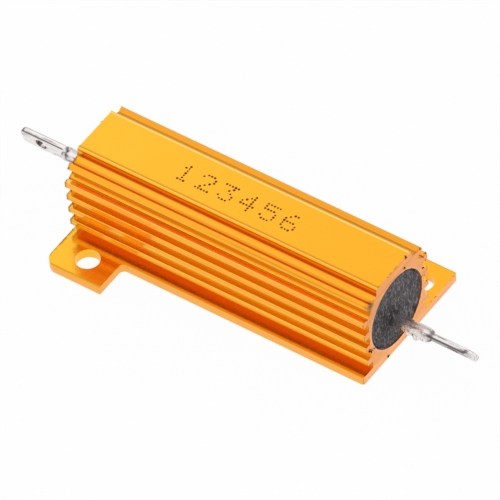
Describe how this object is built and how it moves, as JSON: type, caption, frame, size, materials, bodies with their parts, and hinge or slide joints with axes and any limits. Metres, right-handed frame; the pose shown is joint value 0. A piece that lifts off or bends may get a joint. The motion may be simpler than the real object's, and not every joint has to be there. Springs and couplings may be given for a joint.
{
  "type": "aluminium housed resistor",
  "caption": "Wirewound power resistor potted in a finned, gold-anodised aluminium housing with two fixing tabs and a solder lug at each end.",
  "frame": {"origin": "middle of the housing's flat mounting face, on its underside", "axes": "+X along the housing and its bore, towards the lug at the end seen in the picture; +Y across the fixing tabs; +Z out of the mounting face, up through the top pad"},
  "size_m": [0.0761, 0.0282, 0.0155],
  "materials": {
    "gold_anodised_aluminium": "satin, gold anodised, sawn ends",
    "cement_moulding": "matt, fine-grained moulding compound",
    "alumina_ceramic": "matt fired",
    "resistance_alloy": "drawn wire",
    "cap_steel": "plated, drawn",
    "tinned_metal": "hot tinned"
  },
  "bodies": {
    "root": {"housing": "gold_anodised_aluminium", "moulding": "cement_moulding", "ceramic_core": "alumina_ceramic", "resistance_wire": "resistance_alloy", "end_cap_left": "cap_steel", "end_cap_right": "cap_steel", "terminal_left": "tinned_metal", "terminal_right": "tinned_metal"}
  },
  "joints": []
}
